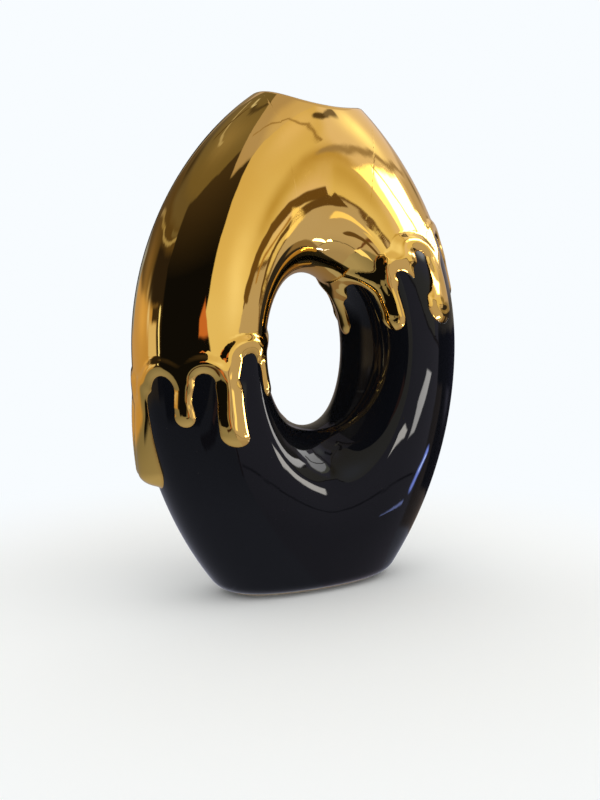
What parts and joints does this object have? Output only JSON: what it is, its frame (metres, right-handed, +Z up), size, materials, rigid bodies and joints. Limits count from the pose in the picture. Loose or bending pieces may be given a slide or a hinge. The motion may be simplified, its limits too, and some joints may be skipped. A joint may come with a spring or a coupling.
{
  "type": "ceramic ring vase",
  "caption": "Egg-shaped hollow ring vase with an oval hole, a saddle mouth, gloss glaze below and a metallic coat that drips down from above.",
  "frame": {"origin": "middle of the standing ring, on the table", "axes": "+Z up, X across the ring, the front with the oval hole faces -Y and the hole runs along Y"},
  "size_m": [0.2221, 0.0817, 0.2999],
  "materials": {
    "fired_clay": "fired, matt, unglazed",
    "bare_foot": "fired, matt, sponged smooth, slightly worn",
    "black_glaze": "high gloss",
    "liner_glaze": "gloss",
    "gold_lustre": "fired gold lustre over glaze, mirror gloss"
  },
  "bodies": {
    "root": {"ceramic_body": "fired_clay", "foot_ring": "bare_foot", "black_glaze": "black_glaze", "liner_glaze": "liner_glaze", "gold_drip_coat": "gold_lustre"}
  },
  "joints": []
}
